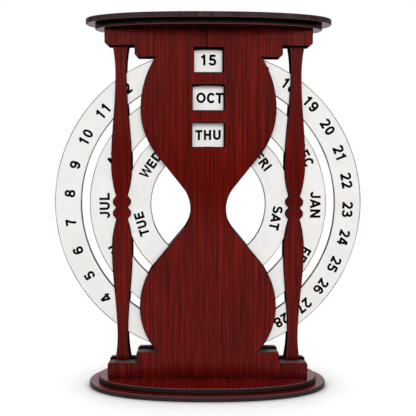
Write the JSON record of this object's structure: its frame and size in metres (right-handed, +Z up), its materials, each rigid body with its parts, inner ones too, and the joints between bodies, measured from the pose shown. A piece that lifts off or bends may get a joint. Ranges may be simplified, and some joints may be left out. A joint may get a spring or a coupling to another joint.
{
  "type": "perpetual desk calendar",
  "caption": "Hourglass-shaped desk calendar of flat boards with coaxial turning rings that show date, month and weekday in windows.",
  "frame": {"origin": "centre of the underside, below the middle of the stack of boards", "axes": "+Z up, +X to the right of the calendar's face, +Y from the front to the back"},
  "size_m": [0.1858, 0.0682, 0.2206],
  "materials": {
    "oval_plate": "satin dark red veneer with scorched edges",
    "veneered_board": "satin dark red veneer with scorched edges",
    "plain_board": "matt fibreboard with scorched edges",
    "white_ring": "white faced fibreboard with scorched edges",
    "card_shim": "matt brown card"
  },
  "bodies": {
    "frame": {"base_plate_large": "oval_plate", "base_plate_small": "oval_plate", "top_plate_small": "oval_plate", "top_plate_large": "oval_plate", "front_panel": "veneered_board", "front_backing": "plain_board", "mid_board": "plain_board", "back_panel": "veneered_board", "left_column": "veneered_board", "right_column": "veneered_board", "top_guide": "plain_board", "bottom_guide": "plain_board", "upper_date_guide": "plain_board", "lower_date_guide": "plain_board", "upper_month_guide": "plain_board", "lower_month_guide": "plain_board", "centre_guide": "plain_board", "top_shim": "card_shim", "bottom_shim": "card_shim", "upper_date_shim": "card_shim", "lower_date_shim": "card_shim", "upper_month_shim": "card_shim", "lower_month_shim": "card_shim", "centre_shim": "card_shim"},
    "date_dial": {"date_ring": "white_ring"},
    "month_dial": {"month_ring": "white_ring"},
    "weekday_dial": {"weekday_ring": "white_ring"}
  },
  "joints": [
    {"name": "date_turn", "type": "hinge", "parent": "frame", "child": "date_dial", "pos_m": [0, 0.003, 0.111], "axis": [0, 1, 0], "continuous": true},
    {"name": "month_turn", "type": "hinge", "parent": "frame", "child": "month_dial", "pos_m": [0, 0.003, 0.111], "axis": [0, 1, 0], "continuous": true},
    {"name": "weekday_turn", "type": "hinge", "parent": "frame", "child": "weekday_dial", "pos_m": [0, 0.003, 0.111], "axis": [0, 1, 0], "continuous": true}
  ]
}
